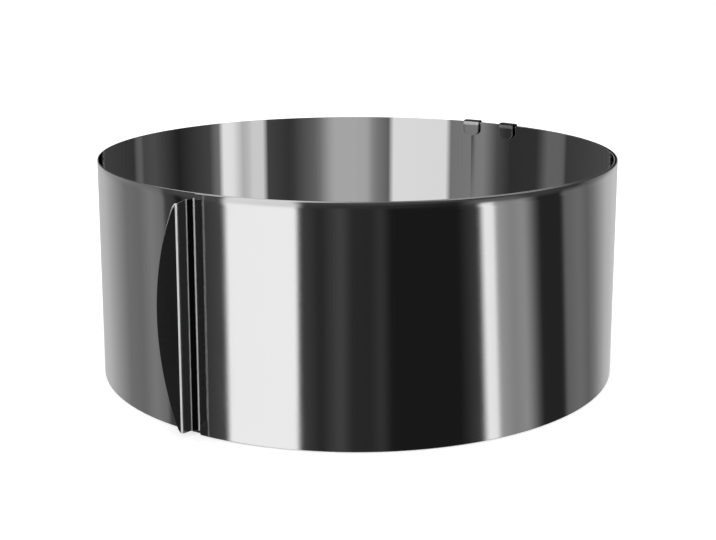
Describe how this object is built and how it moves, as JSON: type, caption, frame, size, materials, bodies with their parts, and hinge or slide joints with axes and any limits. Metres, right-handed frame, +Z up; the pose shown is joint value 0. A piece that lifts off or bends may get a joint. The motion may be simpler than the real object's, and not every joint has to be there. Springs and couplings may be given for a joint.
{
  "type": "adjustable cake ring",
  "caption": "Bottomless round cake ring of springy steel strip; its laps slide past each other to change the diameter, with a folded finger grip outside and clips that ride on the rim.",
  "frame": {"origin": "under the middle of the whole ring, on the surface that it stands on", "axes": "+Z up along the ring's axis; the finger grip faces -Y; the strip runs anticlockwise from the grip, seen from above"},
  "size_m": [0.2048, 0.2134, 0.0859],
  "materials": {
    "strip_steel": "bright rolled stainless steel",
    "clip_steel": "bright stamped stainless steel"
  },
  "bodies": {
    "grip_body": {"grip_end": "strip_steel"},
    "leaf_02": {"band_leaf_02": "strip_steel"},
    "leaf_03": {"band_leaf_03": "strip_steel"},
    "leaf_04": {"band_leaf_04": "strip_steel"},
    "leaf_05": {"band_leaf_05": "strip_steel"},
    "leaf_06": {"band_leaf_06": "strip_steel"},
    "leaf_07": {"band_leaf_07": "strip_steel"},
    "leaf_08": {"band_leaf_08": "strip_steel"},
    "leaf_09": {"band_leaf_09": "strip_steel"},
    "leaf_10": {"band_leaf_10": "strip_steel"},
    "leaf_11": {"band_leaf_11": "strip_steel"},
    "leaf_12": {"band_leaf_12": "strip_steel"},
    "leaf_13": {"band_leaf_13": "strip_steel"},
    "leaf_14": {"band_leaf_14": "strip_steel"},
    "leaf_15": {"band_leaf_15": "strip_steel"},
    "leaf_16": {"band_leaf_16": "strip_steel"},
    "leaf_17": {"band_leaf_17": "strip_steel"},
    "leaf_18": {"band_leaf_18": "strip_steel"},
    "leaf_19": {"band_leaf_19": "strip_steel"},
    "leaf_20": {"band_leaf_20": "strip_steel"},
    "leaf_21": {"band_leaf_21": "strip_steel"},
    "leaf_22": {"band_leaf_22": "strip_steel"},
    "leaf_23": {"band_leaf_23": "strip_steel"},
    "leaf_24": {"band_leaf_24": "strip_steel"},
    "leaf_25": {"band_leaf_25": "strip_steel"},
    "leaf_26": {"band_leaf_26": "strip_steel"},
    "leaf_27": {"band_leaf_27": "strip_steel"},
    "leaf_28": {"band_leaf_28": "strip_steel"},
    "leaf_29": {"band_leaf_29": "strip_steel"},
    "leaf_30": {"band_leaf_30": "strip_steel"},
    "leaf_31": {"band_leaf_31": "strip_steel"},
    "leaf_32": {"band_leaf_32": "strip_steel"},
    "leaf_33": {"band_leaf_33": "strip_steel"},
    "leaf_34": {"band_leaf_34": "strip_steel"},
    "leaf_35": {"band_leaf_35": "strip_steel"},
    "inner_end_body": {"inner_end": "strip_steel", "rim_clip_1": "clip_steel", "rim_clip_2": "clip_steel"}
  },
  "joints": [
    {"name": "flex_01", "type": "hinge", "parent": "leaf_02", "child": "grip_body", "pos_m": [0.02629, -0.09578, 0.0425], "axis": [0, 0, -1], "range_deg": [-4.48, 4.18]},
    {"name": "flex_02", "type": "hinge", "parent": "leaf_03", "child": "leaf_02", "pos_m": [0.05103, -0.08548, 0.0425], "axis": [0, 0, -1], "range_deg": [-4.48, 4.18]},
    {"name": "flex_03", "type": "hinge", "parent": "leaf_04", "child": "leaf_03", "pos_m": [0.07225, -0.06914, 0.0425], "axis": [0, 0, -1], "range_deg": [-4.48, 4.19]},
    {"name": "flex_04", "type": "hinge", "parent": "leaf_05", "child": "leaf_04", "pos_m": [0.08851, -0.04788, 0.0425], "axis": [0, 0, -1], "range_deg": [-4.49, 4.19]},
    {"name": "flex_05", "type": "hinge", "parent": "leaf_06", "child": "leaf_05", "pos_m": [0.0987, -0.02314, 0.0425], "axis": [0, 0, -1], "range_deg": [-4.49, 4.19]},
    {"name": "flex_06", "type": "hinge", "parent": "leaf_07", "child": "leaf_06", "pos_m": [0.10215, 0.00338, 0.0425], "axis": [0, 0, -1], "range_deg": [-4.49, 4.19]},
    {"name": "flex_07", "type": "hinge", "parent": "leaf_08", "child": "leaf_07", "pos_m": [0.09862, 0.02988, 0.0425], "axis": [0, 0, -1], "range_deg": [-4.49, 4.2]},
    {"name": "flex_08", "type": "hinge", "parent": "leaf_09", "child": "leaf_08", "pos_m": [0.08835, 0.05455, 0.0425], "axis": [0, 0, -1], "range_deg": [-4.5, 4.2]},
    {"name": "flex_09", "type": "hinge", "parent": "leaf_10", "child": "leaf_09", "pos_m": [0.07205, 0.07571, 0.0425], "axis": [0, 0, -1], "range_deg": [-4.5, 4.2]},
    {"name": "flex_10", "type": "hinge", "parent": "leaf_11", "child": "leaf_10", "pos_m": [0.05085, 0.09192, 0.0425], "axis": [0, 0, -1], "range_deg": [-4.5, 4.2]},
    {"name": "flex_11", "type": "hinge", "parent": "leaf_12", "child": "leaf_11", "pos_m": [0.02618, 0.10209, 0.0425], "axis": [0, 0, -1], "range_deg": [-4.5, 4.21]},
    {"name": "flex_12", "type": "hinge", "parent": "leaf_13", "child": "leaf_12", "pos_m": [-0.00028, 0.10553, 0.0425], "axis": [0, 0, -1], "range_deg": [-4.51, 4.21]},
    {"name": "flex_13", "type": "hinge", "parent": "leaf_14", "child": "leaf_13", "pos_m": [-0.0267, 0.10201, 0.0425], "axis": [0, 0, -1], "range_deg": [-4.51, 4.21]},
    {"name": "flex_14", "type": "hinge", "parent": "leaf_15", "child": "leaf_14", "pos_m": [-0.0513, 0.09177, 0.0425], "axis": [0, 0, -1], "range_deg": [-4.51, 4.21]},
    {"name": "flex_15", "type": "hinge", "parent": "leaf_16", "child": "leaf_15", "pos_m": [-0.07241, 0.07551, 0.0425], "axis": [0, 0, -1], "range_deg": [-4.51, 4.21]},
    {"name": "flex_16", "type": "hinge", "parent": "leaf_17", "child": "leaf_16", "pos_m": [-0.08858, 0.05436, 0.0425], "axis": [0, 0, -1], "range_deg": [-4.52, 4.22]},
    {"name": "flex_17", "type": "hinge", "parent": "leaf_18", "child": "leaf_17", "pos_m": [-0.09872, 0.02976, 0.0425], "axis": [0, 0, -1], "range_deg": [-4.52, 4.22]},
    {"name": "ring_size", "type": "hinge", "parent": "leaf_19", "child": "leaf_18", "pos_m": [-0.10215, 0.00338, 0.0425], "axis": [0, 0, -1], "range_deg": [-4.5, 4.2]},
    {"name": "flex_19", "type": "hinge", "parent": "leaf_19", "child": "leaf_20", "pos_m": [-0.09863, -0.02297, 0.0425], "axis": [0, 0, 1], "range_deg": [-4.52, 4.22]},
    {"name": "flex_20", "type": "hinge", "parent": "leaf_20", "child": "leaf_21", "pos_m": [-0.08842, -0.04751, 0.0425], "axis": [0, 0, 1], "range_deg": [-4.53, 4.22]},
    {"name": "flex_21", "type": "hinge", "parent": "leaf_21", "child": "leaf_22", "pos_m": [-0.07221, -0.06856, 0.0425], "axis": [0, 0, 1], "range_deg": [-4.53, 4.23]},
    {"name": "flex_22", "type": "hinge", "parent": "leaf_22", "child": "leaf_23", "pos_m": [-0.05112, -0.08469, 0.0425], "axis": [0, 0, 1], "range_deg": [-4.53, 4.23]},
    {"name": "flex_23", "type": "hinge", "parent": "leaf_23", "child": "leaf_24", "pos_m": [-0.02658, -0.0948, 0.0425], "axis": [0, 0, 1], "range_deg": [-4.53, 4.23]},
    {"name": "flex_24", "type": "hinge", "parent": "leaf_24", "child": "leaf_25", "pos_m": [-0.00028, -0.09822, 0.0425], "axis": [0, 0, 1], "range_deg": [-4.54, 4.23]},
    {"name": "flex_25", "type": "hinge", "parent": "leaf_25", "child": "leaf_26", "pos_m": [0.02601, -0.09471, 0.0425], "axis": [0, 0, 1], "range_deg": [-4.54, 4.24]},
    {"name": "flex_26", "type": "hinge", "parent": "leaf_26", "child": "leaf_27", "pos_m": [0.05048, -0.08453, 0.0425], "axis": [0, 0, 1], "range_deg": [-4.54, 4.24]},
    {"name": "flex_27", "type": "hinge", "parent": "leaf_27", "child": "leaf_28", "pos_m": [0.07147, -0.06836, 0.0425], "axis": [0, 0, 1], "range_deg": [-4.54, 4.24]},
    {"name": "flex_28", "type": "hinge", "parent": "leaf_28", "child": "leaf_29", "pos_m": [0.08755, -0.04733, 0.0425], "axis": [0, 0, 1], "range_deg": [-4.54, 4.24]},
    {"name": "flex_29", "type": "hinge", "parent": "leaf_29", "child": "leaf_30", "pos_m": [0.09764, -0.02286, 0.0425], "axis": [0, 0, 1], "range_deg": [-4.55, 4.25]},
    {"name": "flex_30", "type": "hinge", "parent": "leaf_30", "child": "leaf_31", "pos_m": [0.10105, 0.00338, 0.0425], "axis": [0, 0, 1], "range_deg": [-4.55, 4.25]},
    {"name": "flex_31", "type": "hinge", "parent": "leaf_31", "child": "leaf_32", "pos_m": [0.09755, 0.02959, 0.0425], "axis": [0, 0, 1], "range_deg": [-4.55, 4.25]},
    {"name": "flex_32", "type": "hinge", "parent": "leaf_32", "child": "leaf_33", "pos_m": [0.0874, 0.054, 0.0425], "axis": [0, 0, 1], "range_deg": [-4.55, 4.25]},
    {"name": "flex_33", "type": "hinge", "parent": "leaf_33", "child": "leaf_34", "pos_m": [0.07128, 0.07493, 0.0425], "axis": [0, 0, 1], "range_deg": [-4.56, 4.25]},
    {"name": "flex_34", "type": "hinge", "parent": "leaf_34", "child": "leaf_35", "pos_m": [0.0503, 0.09097, 0.0425], "axis": [0, 0, 1], "range_deg": [-4.56, 4.26]},
    {"name": "flex_35", "type": "hinge", "parent": "leaf_35", "child": "inner_end_body", "pos_m": [0.02589, 0.10103, 0.0425], "axis": [0, 0, 1], "range_deg": [-4.56, 4.26]}
  ],
  "couplings": [
    {"joint": "flex_01", "follows": "ring_size", "ratio": 0.99089},
    {"joint": "flex_02", "follows": "ring_size", "ratio": 0.99142},
    {"joint": "flex_03", "follows": "ring_size", "ratio": 0.99196},
    {"joint": "flex_04", "follows": "ring_size", "ratio": 0.9925},
    {"joint": "flex_05", "follows": "ring_size", "ratio": 0.99303},
    {"joint": "flex_06", "follows": "ring_size", "ratio": 0.99357},
    {"joint": "flex_07", "follows": "ring_size", "ratio": 0.9941},
    {"joint": "flex_08", "follows": "ring_size", "ratio": 0.99464},
    {"joint": "flex_09", "follows": "ring_size", "ratio": 0.99518},
    {"joint": "flex_10", "follows": "ring_size", "ratio": 0.99571},
    {"joint": "flex_11", "follows": "ring_size", "ratio": 0.99625},
    {"joint": "flex_12", "follows": "ring_size", "ratio": 0.99678},
    {"joint": "flex_13", "follows": "ring_size", "ratio": 0.99732},
    {"joint": "flex_14", "follows": "ring_size", "ratio": 0.99786},
    {"joint": "flex_15", "follows": "ring_size", "ratio": 0.99839},
    {"joint": "flex_16", "follows": "ring_size", "ratio": 0.99893},
    {"joint": "flex_17", "follows": "ring_size", "ratio": 0.99946},
    {"joint": "flex_19", "follows": "ring_size", "ratio": 1.0005},
    {"joint": "flex_20", "follows": "ring_size", "ratio": 1.0011},
    {"joint": "flex_21", "follows": "ring_size", "ratio": 1.0016},
    {"joint": "flex_22", "follows": "ring_size", "ratio": 1.0021},
    {"joint": "flex_23", "follows": "ring_size", "ratio": 1.0027},
    {"joint": "flex_24", "follows": "ring_size", "ratio": 1.0032},
    {"joint": "flex_25", "follows": "ring_size", "ratio": 1.0037},
    {"joint": "flex_26", "follows": "ring_size", "ratio": 1.0043},
    {"joint": "flex_27", "follows": "ring_size", "ratio": 1.0048},
    {"joint": "flex_28", "follows": "ring_size", "ratio": 1.0054},
    {"joint": "flex_29", "follows": "ring_size", "ratio": 1.0059},
    {"joint": "flex_30", "follows": "ring_size", "ratio": 1.0064},
    {"joint": "flex_31", "follows": "ring_size", "ratio": 1.007},
    {"joint": "flex_32", "follows": "ring_size", "ratio": 1.0075},
    {"joint": "flex_33", "follows": "ring_size", "ratio": 1.008},
    {"joint": "flex_34", "follows": "ring_size", "ratio": 1.0086},
    {"joint": "flex_35", "follows": "ring_size", "ratio": 1.0091}
  ]
}
